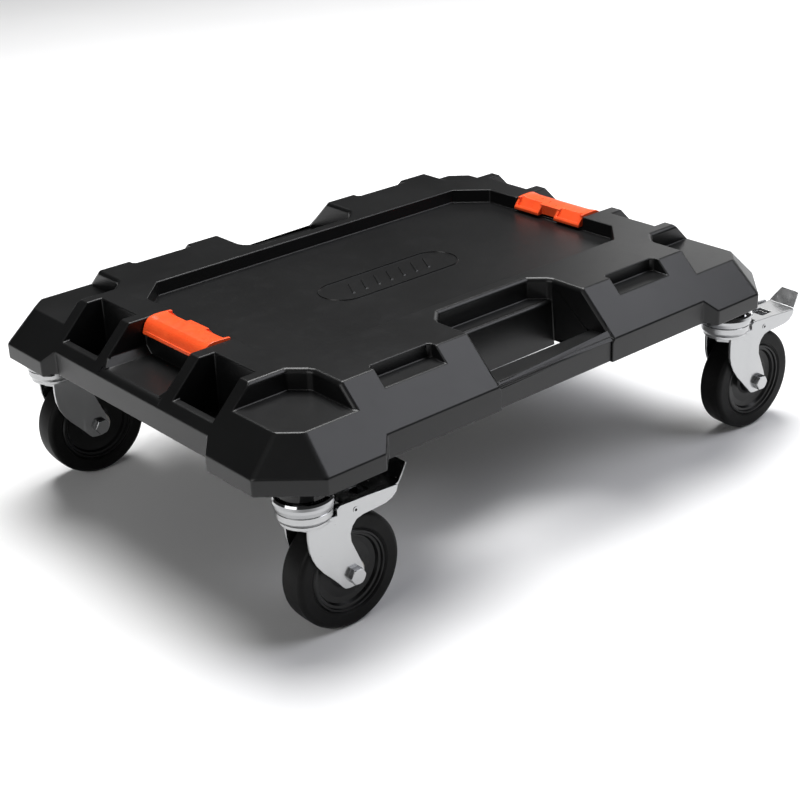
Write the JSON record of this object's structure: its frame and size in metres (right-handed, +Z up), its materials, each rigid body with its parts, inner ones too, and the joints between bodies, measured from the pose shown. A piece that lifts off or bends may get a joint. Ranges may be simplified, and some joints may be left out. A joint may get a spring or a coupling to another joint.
{
  "type": "tool box dolly",
  "caption": "Moulded plastic rolling base for stacking tool boxes: recessed deck with hand-holds and rocker latches on swivel castors with foot brakes.",
  "frame": {"origin": "on the floor under the middle of the whole dolly, castors included", "axes": "+Z up, +X along the long side towards the trailing end of the castors, -Y the side with the foot brakes"},
  "size_m": [0.6431, 0.4448, 0.1992],
  "materials": {
    "deck_plastic": "fine spark-eroded grain",
    "latch_plastic": "satin",
    "chrome": "bright plated",
    "zinc": "bright zinc plate",
    "spring_steel": "oiled",
    "tyre": "smooth rubber",
    "hub_plastic": "moulded satin",
    "bush_plastic": "nylon"
  },
  "bodies": {
    "chassis": {"deck": "deck_plastic", "threaded_inserts": "zinc", "castor_stems": "zinc", "latch_pin_left": "zinc", "latch_pin_right": "zinc", "latch_springs_left": "spring_steel", "latch_springs_right": "spring_steel", "cap_front_left": "chrome", "cap_front_right": "chrome", "cap_back_left": "chrome", "cap_back_right": "chrome"},
    "latch_left": {"latch_left": "latch_plastic"},
    "latch_right": {"latch_right": "latch_plastic"},
    "swivel_front_left": {"race_front_left": "zinc", "balls_front_left": "spring_steel", "fork_front_left": "zinc", "axle_sleeve_front_left": "zinc", "axle_bolt_front_left": "zinc", "axle_nut_front_left": "zinc", "pedal_pin_front_left": "zinc"},
    "wheel_front_left": {"tyre_front_left": "tyre", "hub_front_left": "hub_plastic", "bushes_front_left": "bush_plastic"},
    "pedal_front_left": {"pedal_front_left": "zinc", "brake_shoe_front_left": "zinc"},
    "swivel_front_right": {"race_front_right": "zinc", "balls_front_right": "spring_steel", "fork_front_right": "zinc", "axle_sleeve_front_right": "zinc", "axle_bolt_front_right": "zinc", "axle_nut_front_right": "zinc", "pedal_pin_front_right": "zinc"},
    "wheel_front_right": {"tyre_front_right": "tyre", "hub_front_right": "hub_plastic", "bushes_front_right": "bush_plastic"},
    "pedal_front_right": {"pedal_front_right": "zinc", "brake_shoe_front_right": "zinc"},
    "swivel_back_left": {"race_back_left": "zinc", "balls_back_left": "spring_steel", "fork_back_left": "zinc", "axle_sleeve_back_left": "zinc", "axle_bolt_back_left": "zinc", "axle_nut_back_left": "zinc"},
    "wheel_back_left": {"tyre_back_left": "tyre", "hub_back_left": "hub_plastic", "bushes_back_left": "bush_plastic"},
    "swivel_back_right": {"race_back_right": "zinc", "balls_back_right": "spring_steel", "fork_back_right": "zinc", "axle_sleeve_back_right": "zinc", "axle_bolt_back_right": "zinc", "axle_nut_back_right": "zinc"},
    "wheel_back_right": {"tyre_back_right": "tyre", "hub_back_right": "hub_plastic", "bushes_back_right": "bush_plastic"}
  },
  "joints": [
    {"name": "latch_left_tilt", "type": "hinge", "parent": "chassis", "child": "latch_left", "pos_m": [-0.24729, 0, 0.184], "axis": [0, -1, 0], "range_deg": [0, 15], "stiffness_Nm_per_rad": 0.2, "springref_deg": -8.59},
    {"name": "latch_right_tilt", "type": "hinge", "parent": "chassis", "child": "latch_right", "pos_m": [0.19671, 0, 0.184], "axis": [0, 1, 0], "range_deg": [0, 15], "stiffness_Nm_per_rad": 0.2, "springref_deg": -8.59},
    {"name": "swivel_front_left_turn", "type": "hinge", "parent": "chassis", "child": "swivel_front_left", "pos_m": [-0.27799, -0.188, 0.112], "axis": [0, 0, 1], "continuous": true},
    {"name": "wheel_front_left_roll", "type": "hinge", "parent": "swivel_front_left", "child": "wheel_front_left", "pos_m": [-0.247, -0.18865, 0.05], "axis": [0.0209, 0.9998, 0], "continuous": true},
    {"name": "brake_front_left_press", "type": "hinge", "parent": "swivel_front_left", "child": "pedal_front_left", "pos_m": [-0.243, -0.18873, 0.106], "axis": [0.0209, 0.9998, 0], "range_deg": [0, 5]},
    {"name": "swivel_front_right_turn", "type": "hinge", "parent": "chassis", "child": "swivel_front_right", "pos_m": [0.22741, -0.188, 0.112], "axis": [0, 0, 1], "continuous": true},
    {"name": "wheel_front_right_roll", "type": "hinge", "parent": "swivel_front_right", "child": "wheel_front_right", "pos_m": [0.25835, -0.18989, 0.05], "axis": [0.061, 0.9981, 0], "continuous": true},
    {"name": "brake_front_right_press", "type": "hinge", "parent": "swivel_front_right", "child": "pedal_front_right", "pos_m": [0.26234, -0.19014, 0.106], "axis": [0.061, 0.9981, 0], "range_deg": [0, 5]},
    {"name": "swivel_back_left_turn", "type": "hinge", "parent": "chassis", "child": "swivel_back_left", "pos_m": [-0.27799, 0.188, 0.112], "axis": [0, 0, 1], "continuous": true},
    {"name": "wheel_back_left_roll", "type": "hinge", "parent": "swivel_back_left", "child": "wheel_back_left", "pos_m": [-0.24703, 0.18643, 0.05], "axis": [0.0506, 0.9987, 0], "continuous": true},
    {"name": "swivel_back_right_turn", "type": "hinge", "parent": "chassis", "child": "swivel_back_right", "pos_m": [0.22741, 0.188, 0.112], "axis": [0, 0, 1], "continuous": true},
    {"name": "wheel_back_right_roll", "type": "hinge", "parent": "swivel_back_right", "child": "wheel_back_right", "pos_m": [0.25837, 0.18638, 0.05], "axis": [0.0523, 0.9986, 0], "continuous": true}
  ]
}
